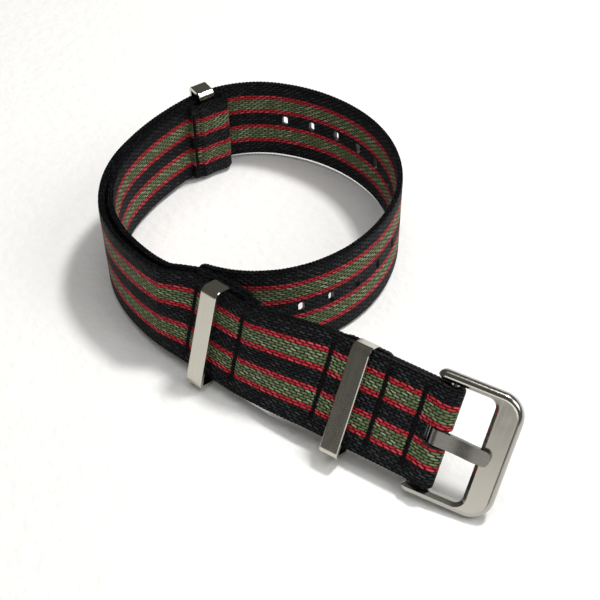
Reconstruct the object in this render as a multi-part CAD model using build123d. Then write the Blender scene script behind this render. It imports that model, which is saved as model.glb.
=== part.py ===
# A pass-through watch strap of striped webbing, coiled and standing on its edge.
#
# The long strap is one length of webbing. At the buckle it folds round a spring bar and runs
# back behind itself, sewn by tacks. A short strap is sewn on behind it, and its folded end holds
# a keeper that goes round the long strap. Two more keepers lie in pockets between the plies.
#
# Every ply is described by stations along the strap, counted from the spring bar's axis
# towards the tip, and by how far its middle lies outward of the long strap's middle.
# Units are millimetres. +Z is up, the buckle half runs along X and its face looks to -Y.

from math import ceil, cos, pi, radians, sin
import os

from build123d import *

# webbing
WEB_WIDTH = 20.0
WEB_THICK = 1.3
PLY_GAP = 0.1
STRAP_LENGTH = 255.0
TIP_RADIUS = 2.5

# tacks: black thread sewn across the plies
TACK_WIDTH = 1.1
TACK_INSET = 2.0
TACK_HEIGHT = 0.3
TACK_MARGIN = 0.15
TACK_SEAT = 0.02
THREAD_RADIUS = 0.3
THREAD_CLEARANCE = 0.05
thread_shares = (-0.44, -0.15, 0.15, 0.44)
FIRST_TACK = 4.5
BUCKLE_RUN = 7.7
MIDDLE_RUN = 18.8
FLAP_RUN = 71.4

# pockets for the keepers between two tacks
POCKET_RAMP = 1.3
POCKET_PLAY = 4.1
FOLD_PLAY = 2.8
BACK_END = 1.4
FLAP_END = 1.2
SEWN_MARGIN = 0.6
TACKED_SLACK = 0.5
FLAP_EASE = 9.0

# keepers
KEEPER_WIDTH = 3.8
KEEPER_THICK = 0.9
KEEPER_DEPTH = 3.2
KEEPER_SIDE_CLEARANCE = 0.6
KEEPER_CLEARANCE = 0.1
KEEPER_3_CLEARANCE = 0.15
KEEPER_CORNER = 1.4
KEEPER_INNER_CORNER = 0.25
KEEPER_BEVEL = 0.15
keeper_1_share = 0.7
keeper_2_share = 0.38
keeper_3_share = 0.4

# spring bar
BAR_RADIUS = 0.75
BAR_BORE_RADIUS = 0.55
BAR_END_CLEARANCE = 0.4
BAR_LIP = 0.5
FOLD_CLEARANCE = 0.1
PIN_RADIUS = 0.38
PIN_REACH = 1.0
PIN_FLANGE_RADIUS = 0.5
PIN_FLANGE_LENGTH = 0.9
PIN_CLEARANCE = 0.05
PIN_END_CLEARANCE = 0.2
SPRING_RADIUS = 0.48
SPRING_BORE_RADIUS = 0.32
SPRING_CLEARANCE = 0.05

# buckle frame
FRAME_SIDE_CLEARANCE = 0.6
LEG_WIDTH = 1.9
LEG_TAIL = 3.5
WINDOW_REACH = 8.0
FRONT_BAR = 5.4
FRAME_THICK = 2.7
FRAME_CORNER = 4.6
WINDOW_CORNER = 1.6
FRAME_ROUND = 1.1
WINDOW_BEVEL = 0.7
LEG_END_ROUND = 1.4
FRAME_DROP_ANGLE = 8.0

# tongue
TONGUE_WIDTH = 3.0
TONGUE_THICK = 0.9
TONGUE_CLEARANCE = 0.05
TONGUE_REST_CLEARANCE = 0.04
TONGUE_RISE_START = 2.6
TONGUE_TIP_RADIUS = 1.2
TONGUE_SLOT_SIDE = 0.4
TONGUE_SLOT_REACH = 2.1
tongue_tip_share = 0.42

# row of holes for the tongue
HOLE_START = 151.3
HOLE_PITCH = 6.75
HOLE_COUNT = 13
HOLE_WIDTH = 1.3
HOLE_HEIGHT = 2.8

# how the strap lies: how far its top edge leans inwards, in degrees, its slight turn between
# the pockets, and the arcs of the coil, each with its radius as a share of the coil's mean
# radius and its turn in degrees
BUCKLE_LEAN_ANGLE = 31.2
MIDDLE_LEAN_ANGLE = 17.5
BEND_LEAN_ANGLE = 5.9
TAIL_LEAN_ANGLE = 7.5
MIDDLE_TURN_ANGLE = 6.6
BEND_START = 2.8
BEND_LEAN_RUN = 4.4
UPRIGHT_RUN = 27.2
TAIL_LEAN_START = 55.0
TAIL_LEAN_END = 15.0
coil_shares = (
    (1.53, 18.1),
    (1.02, 26.9),
    (0.88, 31.4),
    (1.72, 22.0),
    (0.70, 54.5),
    (1.03, 36.9),
    (0.90, 42.0),
    (1.00, 38.1),
    (0.94, 31.9),
    (0.78, 48.4),
)
STRETCH_STEP = 3.0
ramp_parts = 6
CUT_OVERRUN = 1.0

# stations along the strap
tack_length = WEB_WIDTH - 2 * TACK_INSET
tack_reach = TACK_WIDTH / 2 + TACK_MARGIN
pocket_length = 2 * (tack_reach + POCKET_RAMP) + KEEPER_WIDTH + POCKET_PLAY
tack_1 = FIRST_TACK
tack_2 = tack_1 + BUCKLE_RUN
tack_3 = tack_2 + pocket_length
tack_4 = tack_3 + MIDDLE_RUN
tack_5 = tack_4 + pocket_length
tack_6 = tack_5 + FLAP_RUN
twist_start = tack_3 + tack_reach + SEWN_MARGIN
flap_start = tack_4 - FLAP_END
twist_end = flap_start - PLY_GAP
back_end = tack_5 + BACK_END
straight_end = tack_5 + BEND_START
fold_start = tack_6 + tack_reach + POCKET_RAMP + KEEPER_WIDTH + FOLD_PLAY

# how far the middle of each ply lies outward of the long strap's middle
half_ply = WEB_THICK / 2
ply_step = WEB_THICK + PLY_GAP
pocket_step = WEB_THICK + KEEPER_THICK + 2 * KEEPER_CLEARANCE
pin_offset = -ply_step / 2
fold_radius = BAR_RADIUS + FOLD_CLEARANCE + half_ply
keeper_3_inside = half_ply + KEEPER_3_CLEARANCE - KEEPER_DEPTH
flap_pocket = -ply_step - PLY_GAP / 2
flap_inner_pocket = keeper_3_inside - KEEPER_THICK - KEEPER_3_CLEARANCE - half_ply
flap_tacked = -ply_step - TACKED_SLACK
flap_inner_tacked = flap_tacked - ply_step
flap_loose = -2 * ply_step

frame_inside = WEB_WIDTH + 2 * FRAME_SIDE_CLEARANCE
frame_reach = WINDOW_REACH + FRONT_BAR
frame_half_width = frame_inside / 2 + LEG_WIDTH
bar_half_length = frame_inside / 2 - BAR_END_CLEARANCE
coil_turns = sum(share * radians(turn) for share, turn in coil_shares)
coil_radius = (STRAP_LENGTH - straight_end) / coil_turns
upright_end = straight_end + UPRIGHT_RUN
tail_start = STRAP_LENGTH - TAIL_LEAN_START
tail_end = STRAP_LENGTH - TAIL_LEAN_END
tail_lift = half_ply * sin(radians(TAIL_LEAN_ANGLE))


def path_arcs():
    """Start station, length and turn of each stretch of the strap's path."""
    middle = twist_end - twist_start
    arcs = [
        (0.0, twist_start, 0.0),
        (twist_start, middle, radians(MIDDLE_TURN_ANGLE)),
        (twist_end, straight_end - twist_end, 0.0),
    ]
    start = straight_end
    for share, turn in coil_shares:
        length = coil_radius * share * radians(turn)
        arcs.append((start, length, radians(turn)))
        start += length
    return arcs


ARCS = path_arcs()


def plan(station):
    """Place on the floor, and heading, of the long strap's middle at a station."""
    x, y, heading = 0.0, 0.0, pi
    for start, length, turn in ARCS:
        run = min(station - start, length)
        if run <= 0 and start > 0:
            break
        if turn == 0:
            x, y = x + run * cos(heading), y + run * sin(heading)
            continue
        radius, angle = length / turn, turn * run / length
        x += radius * (sin(heading) - sin(heading - angle))
        y -= radius * (cos(heading) - cos(heading - angle))
        heading -= angle
    return x, y, heading


def blend(station, start, end):
    """Runs smoothly from 0 at the start station to 1 at the end station."""
    share = min(max((station - start) / (end - start), 0.0), 1.0)
    return share * share * (3 - 2 * share)


def along_knots(knots, station):
    """Value at a station, in straight runs between (station, value) knots."""
    for (s0, v0), (s1, v1) in zip(knots, knots[1:]):
        if station <= s1:
            return v0 + (v1 - v0) * max(station - s0, 0.0) / (s1 - s0)
    return knots[-1][1]


def lean(station):
    """How far the strap's top edge tips inwards, in radians."""
    knots = [
        (twist_start, BUCKLE_LEAN_ANGLE), (twist_end, MIDDLE_LEAN_ANGLE),
        (back_end, MIDDLE_LEAN_ANGLE), (straight_end + BEND_LEAN_RUN, BEND_LEAN_ANGLE),
        (upright_end, 0.0), (tail_start, 0.0), (tail_end, TAIL_LEAN_ANGLE),
    ]
    return radians(along_knots(knots, station))


def directions(station):
    """Vectors along the strap, outward of its face, and across it towards its top edge."""
    heading, tip = plan(station)[2], lean(station)
    along = Vector(cos(heading), sin(heading), 0)
    outward = Vector(-sin(heading), cos(heading), 0)
    face = outward * cos(tip) + Vector(0, 0, sin(tip))
    across = Vector(0, 0, cos(tip)) - outward * sin(tip)
    return along, face, across


def lower_edge(station, lifts):
    """Middle of the long strap's lower edge. lifts: its heights at buckle, keeper 1 and coil."""
    x, y, _ = plan(station)
    buckle_lift, middle_lift, coil_lift = lifts
    knots = [
        (twist_start, buckle_lift), (twist_end, middle_lift), (straight_end, middle_lift),
        (upright_end, coil_lift), (tail_start, coil_lift), (tail_end, tail_lift),
    ]
    return Vector(x, y, along_knots(knots, station))


def face_plane(station, lifts, outward=0.0):
    """Plane at the strap's mid width: X along it, Z out of its face."""
    along, face, across = directions(station)
    origin = lower_edge(station, lifts) + across * (WEB_WIDTH / 2) + face * outward
    return Plane(origin=origin, x_dir=along, z_dir=face)


def place(station, offset, rise, lifts):
    """Point at a station, an offset outward of the strap's middle and a rise across it."""
    _, face, across = directions(station)
    return lower_edge(station, lifts) + face * offset + across * rise


def pocket_knots(first_tack, level, pocket_level):
    """Knots of a ply that rises over a keeper's bar between two tacks."""
    start = first_tack + tack_reach
    end = first_tack + pocket_length - tack_reach
    return [
        (start, level),
        (start + POCKET_RAMP, pocket_level),
        (end - POCKET_RAMP, pocket_level),
        (end, level),
    ]


def stretch(first, last, side, lifts):
    """Four rails of a ply between two (station, offset) knots, keyed by side and rise.

    Side 1 of the strip lies outward where side is 1, and inward where it is -1.
    """
    (s0, n0), (s1, n1) = first, last
    count = ceil(abs(s1 - s0) / STRETCH_STEP) if n0 == n1 else ramp_parts
    stations = [s0 + (s1 - s0) * i / count for i in range(count + 1)]
    heading = 1 if s1 > s0 else -1
    tangents = (directions(s0)[0] * heading, directions(s1)[0] * heading)
    rails = {}
    for face in (1, -1):
        for rise in (0.0, WEB_WIDTH):
            points = []
            for station in stations:
                offset = n0 + (n1 - n0) * blend(abs(station - s0), 0, abs(s1 - s0))
                points.append(place(station, offset + face * side * half_ply, rise, lifts))
            if n0 == n1:
                rails[face, rise] = Spline(*points) if count > 1 else Line(*points)
            else:
                rails[face, rise] = Spline(*points, tangents=tangents)
    return rails


def fold(station, outer, inner, heading, lifts):
    """Four rails of a half turn between two plies, from the outer one to the inner one."""
    along = directions(station)[0]
    middle, reach = (outer + inner) / 2, (outer - inner) / 2
    rails = {}
    for face in (1, -1):
        radius = reach + face * half_ply
        for rise in (0.0, WEB_WIDTH):
            rails[face, rise] = ThreePointArc(
                place(station, middle + radius, rise, lifts),
                place(station, middle, rise, lifts) + along * (heading * radius),
                place(station, middle - radius, rise, lifts),
            )
    return rails


def strip(stretches):
    """One solid of a strip of webbing from the rails of its stretches in turn."""
    corners = ((1, 0.0), (1, WEB_WIDTH), (-1, WEB_WIDTH), (-1, 0.0))
    faces = []
    for rails in stretches:
        for one, other in zip(corners, corners[1:] + corners[:1]):
            faces.append(Face.make_surface_from_curves(rails[one].edge(), rails[other].edge()))
    for rails, share in ((stretches[0], 0), (stretches[-1], 1)):
        ring = [rails[key].edge().position_at(share) for key in corners]
        faces.append(Face(Wire.make_polygon(ring)))
    return Solid(Shell(faces))


def runs(knots, side, lifts):
    """Stretches between knots in turn."""
    return [stretch(first, last, side, lifts) for first, last in zip(knots, knots[1:])]


def slot_cutter(width, height, depth):
    """Prism with round ends, standing across the webbing, centred."""
    straight = Box(width, height - width, depth)
    end = Cylinder(width / 2, depth)
    half = (height - width) / 2
    return straight + Pos(0, half, 0) * end + Pos(0, -half, 0) * end


def thread_cutters(station, lifts, offset, depth):
    """Needle holes of one tack through the plies."""
    plane = face_plane(station, lifts, offset)
    radius = THREAD_RADIUS + THREAD_CLEARANCE
    holes = [Pos(0, share * tack_length, 0) * Cylinder(radius, depth) for share in thread_shares]
    return [plane * hole for hole in holes]


def tack(station, lifts, outer, inner):
    """Thread ridges on the two outer faces, joined by threads through the plies."""
    length = outer - inner
    plane = face_plane(station, lifts, (outer + inner) / 2)
    round_off = TACK_HEIGHT / 2
    ridge = Box(TACK_WIDTH, tack_length, TACK_HEIGHT)
    top = fillet(ridge.edges().filter_by(Axis.Y).sort_by(Axis.Z)[-2:], round_off)
    bottom = fillet(ridge.edges().filter_by(Axis.Y).sort_by(Axis.Z)[:2], round_off)
    lift = length / 2 + TACK_SEAT + TACK_HEIGHT / 2
    body = Pos(0, 0, lift) * top
    for share in thread_shares:
        leg = Cylinder(THREAD_RADIUS, 2 * lift)
        body = body + Pos(0, share * tack_length, 0) * leg
    body = body + Pos(0, 0, -lift) * bottom
    return plane * body


def keeper():
    """Flat steel loop round the Z axis: X is its depth, Y its height across the strap."""
    inside_height = WEB_WIDTH + 2 * KEEPER_SIDE_CLEARANCE
    outer = RectangleRounded(
        KEEPER_DEPTH + 2 * KEEPER_THICK, inside_height + 2 * KEEPER_THICK, KEEPER_CORNER
    )
    inner = RectangleRounded(KEEPER_DEPTH, inside_height, KEEPER_INNER_CORNER)
    band = extrude(outer, KEEPER_WIDTH / 2, both=True)
    rims = band.faces().sort_by(Axis.Z)
    band = chamfer(rims[0].edges() + rims[-1].edges(), KEEPER_BEVEL)
    return band - extrude(inner, KEEPER_WIDTH, both=True)


def place_keeper(station, lifts, inside, rise):
    """Keeper at a station, with its inner bar's face at an offset, and how far it rises."""
    along, face, across = directions(station)
    middle = inside + KEEPER_DEPTH / 2
    origin = lower_edge(station, lifts) + across * (WEB_WIDTH / 2 + rise) + face * middle
    return Plane(origin=origin, x_dir=face, z_dir=along) * keeper()


def buckle_frame():
    """U-shaped frame: X away from the spring bar, Y across the strap, Z outward."""
    length = frame_reach + LEG_TAIL
    middle = (frame_reach - LEG_TAIL) / 2
    plate = Pos(middle, 0, 0) * Box(length, 2 * frame_half_width, FRAME_THICK)
    corners = plate.edges().filter_by(Axis.Z).sort_by(Axis.X)
    plate = fillet(corners[-2:], FRAME_CORNER)
    window_length = WINDOW_REACH + LEG_TAIL + CUT_OVERRUN
    window = Pos(WINDOW_REACH - window_length / 2, 0, 0) * Box(
        window_length, frame_inside, FRAME_THICK + CUT_OVERRUN
    )
    window_corners = window.edges().filter_by(Axis.Z).sort_by(Axis.X)
    window = fillet(window_corners[-2:], WINDOW_CORNER)
    frame = plate - window
    leg_ends = frame.edges().filter_by(Axis.Z).group_by(Axis.X)[0].sort_by(Axis.Y)
    frame = fillet([leg_ends[0], leg_ends[-1]], LEG_END_ROUND)
    frame = fillet(outline_edges(frame, outside=True), FRAME_ROUND)
    frame = chamfer(outline_edges(frame, outside=False), WINDOW_BEVEL)
    hole = Cylinder(PIN_RADIUS + PIN_CLEARANCE, frame_inside + 2 * (PIN_REACH + PIN_END_CLEARANCE))
    return frame - Rot(X=90) * hole


def outline_edges(frame, outside):
    """Upper and lower rims of the frame's outer outline, or of its window."""
    limit = frame_inside / 2 + LEG_WIDTH / 4
    chosen = []
    for edge in frame.edges():
        middle = edge.position_at(0.5)
        level = abs(middle.Z) > FRAME_THICK / 2 - FRAME_ROUND / 2
        flat = abs(edge.position_at(0).Z - edge.position_at(1).Z) < FRAME_ROUND / 2
        outer = abs(middle.Y) > limit or middle.X > frame_reach - FRONT_BAR / 2
        tail = middle.X < -LEG_TAIL + LEG_END_ROUND
        if level and flat and (outer or tail) == outside:
            chosen.append(edge)
    return chosen


def tongue():
    """Flat tongue curled round the spring bar: X along it, Y across, Z outward."""
    inner = BAR_RADIUS + TONGUE_CLEARANCE
    outer = inner + TONGUE_THICK
    rest = FRAME_THICK / 2 + TONGUE_REST_CLEARANCE
    rise_end = WINDOW_REACH
    tip = WINDOW_REACH + FRONT_BAR * tongue_tip_share
    rise = ((1, 0), (1, 0))
    edges = [
        Line((0, outer), (TONGUE_RISE_START, outer)),
        Spline((TONGUE_RISE_START, outer), (rise_end, rest + TONGUE_THICK), tangents=rise),
        Line((rise_end, rest + TONGUE_THICK), (tip, rest + TONGUE_THICK)),
        Line((tip, rest + TONGUE_THICK), (tip, rest)),
        Line((tip, rest), (rise_end, rest)),
        Spline((rise_end, rest), (TONGUE_RISE_START, inner), tangents=((-1, 0), (-1, 0))),
        Line((TONGUE_RISE_START, inner), (0, inner)),
        Line((0, inner), (0, outer)),
    ]
    blade = extrude(make_face(edges), TONGUE_WIDTH / 2, both=True)
    tips = blade.edges().filter_by(Axis.Y).sort_by(Axis.X)
    blade = fillet(tips[-2:], TONGUE_TIP_RADIUS)
    eye = Cylinder(outer, TONGUE_WIDTH) - Cylinder(inner, TONGUE_WIDTH + CUT_OVERRUN)
    return Rot(X=90) * (blade + eye)


def spring_bar_tube():
    """Barrel with narrowed ends, along Z."""
    barrel = Cylinder(BAR_RADIUS, 2 * bar_half_length)
    bore = Cylinder(BAR_BORE_RADIUS, 2 * (bar_half_length - BAR_LIP))
    mouth = Cylinder(PIN_RADIUS + PIN_CLEARANCE, 2 * bar_half_length + CUT_OVERRUN)
    return barrel - bore - mouth


def plunger():
    """End pin along +Z, with the flange that the spring pushes on."""
    flange_top = bar_half_length - BAR_LIP - PLY_GAP
    flange = Pos(0, 0, flange_top - PIN_FLANGE_LENGTH / 2) * Cylinder(
        PIN_FLANGE_RADIUS, PIN_FLANGE_LENGTH
    )
    reach = frame_inside / 2 + PIN_REACH - flange_top
    pin = Pos(0, 0, flange_top + reach / 2) * Cylinder(PIN_RADIUS, reach)
    return flange + pin


def spring():
    """Space of the coil spring between the two flanges, along Z."""
    flange_bottom = bar_half_length - BAR_LIP - PLY_GAP - PIN_FLANGE_LENGTH
    length = 2 * (flange_bottom - SPRING_CLEARANCE)
    return Cylinder(SPRING_RADIUS, length) - Cylinder(SPRING_BORE_RADIUS, length + CUT_OVERRUN)


def buckle_plane(lifts):
    """Frame's plane at the spring bar: X away from the strap, Y across, Z outward."""
    along, face, across = directions(0)
    drop = radians(FRAME_DROP_ANGLE)
    x_dir = along * -cos(drop) - face * sin(drop)
    z_dir = face * cos(drop) - along * sin(drop)
    origin = lower_edge(0, lifts) + across * (WEB_WIDTH / 2) + face * pin_offset
    return Plane(origin=origin, x_dir=x_dir, z_dir=z_dir)


def long_strap(lifts):
    """Main webbing: fold round the spring bar, both sewn plies, coil, holes and tip."""
    front, back = pin_offset + fold_radius, pin_offset - fold_radius
    settled = FIRST_TACK - tack_reach
    front_ply = [(STRAP_LENGTH, 0.0), (straight_end, 0.0), (back_end, 0.0), (twist_end, 0.0),
                 (twist_start, 0.0), (settled, 0.0), (0.0, front)]
    back_ply = [(0.0, back), (settled, -ply_step)]
    back_ply += pocket_knots(tack_2, -ply_step, -pocket_step)
    back_ply += [(twist_start, -ply_step), (twist_end, -ply_step)]
    back_ply += pocket_knots(tack_4, -ply_step, -pocket_step) + [(back_end, -ply_step)]
    turn = fold(0.0, front, back, -1, lifts)
    strap = strip(runs(front_ply, 1, lifts) + [turn] + runs(back_ply, -1, lifts))

    cutters = []
    for station in (tack_1, tack_2, tack_3, tack_4, tack_5):
        cutters += thread_cutters(station, lifts, pin_offset, 4 * ply_step)
    slot_height = TONGUE_WIDTH + 2 * TONGUE_SLOT_SIDE
    fold_reach = fold_radius + WEB_THICK
    slot = Box(TONGUE_SLOT_REACH + fold_reach, slot_height, 6 * fold_radius)
    slot_middle = (TONGUE_SLOT_REACH - fold_reach) / 2
    cutters.append(face_plane(0, lifts, pin_offset) * Pos(slot_middle, 0, 0) * slot)
    for i in range(HOLE_COUNT):
        plane = face_plane(HOLE_START + i * HOLE_PITCH, lifts)
        cutters.append(plane * slot_cutter(HOLE_WIDTH, HOLE_HEIGHT, 2 * WEB_THICK))
    return strap.cut(*cutters, *tip_cutters(lifts))


def tip_cutters(lifts):
    """What rounds the two corners of the tip."""
    plane = face_plane(STRAP_LENGTH, lifts)
    cutters = []
    for side in (1, -1):
        corner = Pos(0, side * WEB_WIDTH / 2, 0) * Box(
            2 * TIP_RADIUS, 2 * TIP_RADIUS, 2 * WEB_THICK
        )
        round_end = Pos(-TIP_RADIUS, side * (WEB_WIDTH / 2 - TIP_RADIUS), 0) * Cylinder(
            TIP_RADIUS, 2 * WEB_THICK
        )
        cutters.append(plane * (corner - round_end))
    return cutters


def short_strap(lifts):
    """Second webbing: sewn end, stretch inside the coil, and the fold that holds a keeper."""
    sewn = -2 * ply_step
    tacked, open_start = tack_6 - tack_reach, tack_6 + tack_reach + POCKET_RAMP
    outer_ply = [(fold_start, flap_pocket), (open_start, flap_pocket),
                 (tack_6 + tack_reach, flap_tacked), (tacked, flap_tacked),
                 (tacked - FLAP_EASE, flap_loose), (straight_end, sewn), (back_end, sewn)]
    pocket = pocket_knots(tack_4, sewn, -pocket_step - ply_step)
    outer_ply += pocket[::-1] + [(flap_start, sewn)]
    inner_ply = [(tacked - FLAP_END, flap_inner_tacked),
                 (tack_6 + tack_reach, flap_inner_tacked),
                 (open_start, flap_inner_pocket), (fold_start, flap_inner_pocket)]
    turn = fold(fold_start, flap_pocket, flap_inner_pocket, 1, lifts)
    backwards = runs(outer_ply[::-1], 1, lifts)
    strap = strip(backwards + [turn] + runs(inner_ply[::-1], -1, lifts))
    cutters = thread_cutters(tack_4, lifts, sewn, 2 * ply_step)
    cutters += thread_cutters(tack_5, lifts, sewn, 2 * ply_step)
    cutters += thread_cutters(tack_6, lifts, (flap_tacked + flap_inner_tacked) / 2, 4 * ply_step)
    return strap.cut(*cutters)


def pocket_place(first_tack, share):
    """Station of a keeper in a pocket: share is how much of its play lies before it."""
    start = first_tack + tack_reach + POCKET_RAMP
    return start + KEEPER_WIDTH / 2 + POCKET_PLAY * share


def build():
    parts = {}
    station_1, station_2 = pocket_place(tack_4, keeper_1_share), pocket_place(tack_2, keeper_2_share)
    station_3 = tack_6 + tack_reach + POCKET_RAMP + KEEPER_WIDTH / 2 + FOLD_PLAY * keeper_3_share
    pocket_inside = -half_ply - KEEPER_CLEARANCE

    # the frame's corner, keepers 1 and 3 and the tail stand on the floor. Keepers 1 and 2
    # hang on the webbing's upper edge, and the webbing rests in keeper 3
    rise = KEEPER_SIDE_CLEARANCE - KEEPER_CLEARANCE
    ground = (0.0, 0.0, 0.0)
    frame_low = (buckle_plane(ground) * buckle_frame()).bounding_box().min.Z
    keeper_1_low = place_keeper(station_1, ground, pocket_inside, -rise).bounding_box().min.Z
    keeper_3_low = place_keeper(station_3, ground, keeper_3_inside, rise).bounding_box().min.Z
    lifts = (-frame_low, -keeper_1_low, -keeper_3_low)

    parts["long_strap"] = long_strap(lifts)
    parts["short_strap"] = short_strap(lifts)
    front, sewn_two, sewn_three = half_ply, -ply_step - half_ply, -2 * ply_step - half_ply
    for number, station, inner in (
        (1, tack_1, sewn_two), (2, tack_2, sewn_two), (3, tack_3, sewn_two),
        (4, tack_4, sewn_three), (5, tack_5, sewn_three),
    ):
        parts[f"bar_tack_{number}"] = tack(station, lifts, front, inner)
    parts["bar_tack_6"] = tack(
        tack_6, lifts, flap_tacked + half_ply, flap_inner_tacked - half_ply
    )
    parts["keeper_1"] = place_keeper(station_1, lifts, pocket_inside, -rise)
    parts["keeper_2"] = place_keeper(station_2, lifts, pocket_inside, -rise)
    parts["keeper_3"] = place_keeper(station_3, lifts, keeper_3_inside, rise)

    buckle = buckle_plane(lifts)
    parts["buckle_frame"] = buckle * buckle_frame()
    parts["buckle_tongue"] = buckle * tongue()
    axis = buckle * Rot(X=-90)
    parts["spring_bar_tube"] = axis * spring_bar_tube()
    parts["spring_bar_plunger_top"] = axis * plunger()
    parts["spring_bar_plunger_bottom"] = axis * Rot(X=180) * plunger()
    parts["spring_bar_spring"] = axis * spring()
    return parts, lifts


def main():
    os.makedirs("parts", exist_ok=True)
    parts, lifts = build()
    box = Compound(list(parts.values())).bounding_box()
    shift = Pos(-box.center().X, -box.center().Y, 0)
    for name, part in parts.items():
        export_step(shift * part, f"parts/{name}.step")
    print("lifts", lifts, "shift", shift.position, "size", box.size)


main()
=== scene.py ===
# %% [markdown]
# # A pass-through watch strap, coiled and standing on its edge
#
# The solids of the strap are a fixed frame: every keeper, the buckle and the spring bar
# are already where they belong. Blender adds what the solids leave out: the woven
# webbing, the stitches, the finish of the steel and the light. Blender counts in metres
# and a strap is measured in millimetres, so its sizes are written in millimetres and
# multiplied by MM where they are handed over.

# %% Load the frame
from collections import namedtuple
from math import ceil, cos, pi, radians, sin, sqrt

import bmesh
import bpy
import numpy as np
from mathutils import Matrix, Vector


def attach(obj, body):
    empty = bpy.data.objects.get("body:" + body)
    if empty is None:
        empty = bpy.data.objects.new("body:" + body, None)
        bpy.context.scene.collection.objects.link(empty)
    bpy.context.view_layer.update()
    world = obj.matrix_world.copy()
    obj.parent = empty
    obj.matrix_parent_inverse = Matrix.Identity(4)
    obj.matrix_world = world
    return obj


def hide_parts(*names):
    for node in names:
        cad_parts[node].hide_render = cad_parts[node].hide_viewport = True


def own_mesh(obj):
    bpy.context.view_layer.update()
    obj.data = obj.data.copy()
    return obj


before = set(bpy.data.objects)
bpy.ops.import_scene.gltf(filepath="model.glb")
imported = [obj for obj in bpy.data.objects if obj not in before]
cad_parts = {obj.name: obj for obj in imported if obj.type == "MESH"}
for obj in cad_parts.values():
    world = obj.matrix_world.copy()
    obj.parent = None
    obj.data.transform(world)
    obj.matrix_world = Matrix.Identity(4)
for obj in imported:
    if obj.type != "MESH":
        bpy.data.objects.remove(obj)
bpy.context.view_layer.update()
MM = 0.001
print("nodes in the frame:", sorted(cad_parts))


# %% [markdown]
# ## Small helpers for modelling
#
# Operators act on whatever is selected, so each piece begins with nothing selected. A
# finished piece keeps its place in its mesh, with its object at the origin, unturned
# and unscaled. That way patterns on Object coordinates stay put, and a piece can ride
# on a body of the frame.

# %% Selection and finishing helpers
def select_only(obj):
    """Make one object the only selected and the active one."""
    bpy.ops.object.select_all(action="DESELECT")
    obj.select_set(True)
    bpy.context.view_layer.objects.active = obj


def new_piece(name):
    """Name the object that an operator has just added."""
    obj = bpy.context.active_object
    obj.name = obj.data.name = name
    return obj


def join(objects, name):
    """Join meshes into one piece."""
    bpy.ops.object.select_all(action="DESELECT")
    for obj in objects:
        obj.select_set(True)
    bpy.context.view_layer.objects.active = objects[0]
    bpy.ops.object.join()
    return new_piece(name)


def dress(obj, material, slot, body, *nodes):
    """Give a piece its material, body and the nodes that it stands for."""
    obj.data.materials.clear()
    obj.data.materials.append(material)
    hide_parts(*nodes)
    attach(obj, body)
    triangles = sum(len(face.vertices) - 2 for face in obj.data.polygons)
    print(obj.name, "stands for", nodes, "with", triangles, "triangles")


print("helpers ready, one millimetre is", MM, "m")


# %% [markdown]
# ## Sizes
#
# The sizes are those of the solids, so that the modelled webbing lies where they lie.
# A station is a distance along the strap from the spring bar, and an offset is how far
# a ply lies outside the long strap's middle. The plies are stacked by their thickness
# and a small gap, and over a keeper's bar by the bar's thickness too.

# %% Sizes of the strap, in millimetres
WEB_WIDTH, WEB_THICK, PLY_GAP, STRAP_LENGTH, TIP_RADIUS = 20.0, 1.3, 0.1, 255.0, 2.5
TACKS = (4.5, 12.2, 24.1, 42.9, 54.8, 126.2)
TACK_REACH, TACK_LENGTH, TACKED_SLACK, SEWN_MARGIN = 0.7, 16.0, 0.5, 0.6
POCKET_RAMP, POCKET_LENGTH, FOLD_PLAY = 1.3, 11.9, 2.8
BACK_END, FLAP_END, FLAP_EASE, FLAP_CLOSER, BEND_START = 1.4, 1.2, 9.0, 0.75, 2.8
KEEPER_WIDTH, KEEPER_THICK, KEEPER_DEPTH = 3.8, 0.9, 3.2
KEEPER_CLEARANCE, KEEPER_3_CLEARANCE = 0.1, 0.15
BAR_RADIUS, FOLD_CLEARANCE = 0.75, 0.1
HOLE_START, HOLE_PITCH, HOLE_COUNT = 151.3, 6.75, 13
HOLE_WIDTH, HOLE_HEIGHT, HOLE_ROUNDING = 1.3, 2.8, 0.55
TONGUE_SLOT_LENGTH, TONGUE_SLOT_WIDTH, TONGUE_SLOT_ROUNDING = 4.9, 3.8, 0.3
TONGUE_SLOT_SHIFT = 0.35

half_ply = WEB_THICK / 2
ply_step = WEB_THICK + PLY_GAP
pocket_step = WEB_THICK + KEEPER_THICK + 2 * KEEPER_CLEARANCE
pin_offset = -ply_step / 2
fold_radius = BAR_RADIUS + FOLD_CLEARANCE + half_ply
twist_start = TACKS[2] + TACK_REACH + SEWN_MARGIN
flap_start = TACKS[3] - FLAP_END
twist_end = flap_start - PLY_GAP
back_end = TACKS[4] + BACK_END
straight_end = TACKS[4] + BEND_START
fold_start = TACKS[5] + TACK_REACH + POCKET_RAMP + KEEPER_WIDTH + FOLD_PLAY
print("ply step", round(ply_step, 3), "mm, short strap's fold at", round(fold_start, 1))


# %% [markdown]
# ## The strap's path
#
# The coil is a row of arcs that join smoothly. Each is given by its radius, as a share
# of the coil's mean radius, and its turn, and a point on the floor plan is found by
# walking along them up to its station. Near the buckle the ribbon leans back and is
# lifted off the table, and both change in straight runs from knot to knot.

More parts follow.
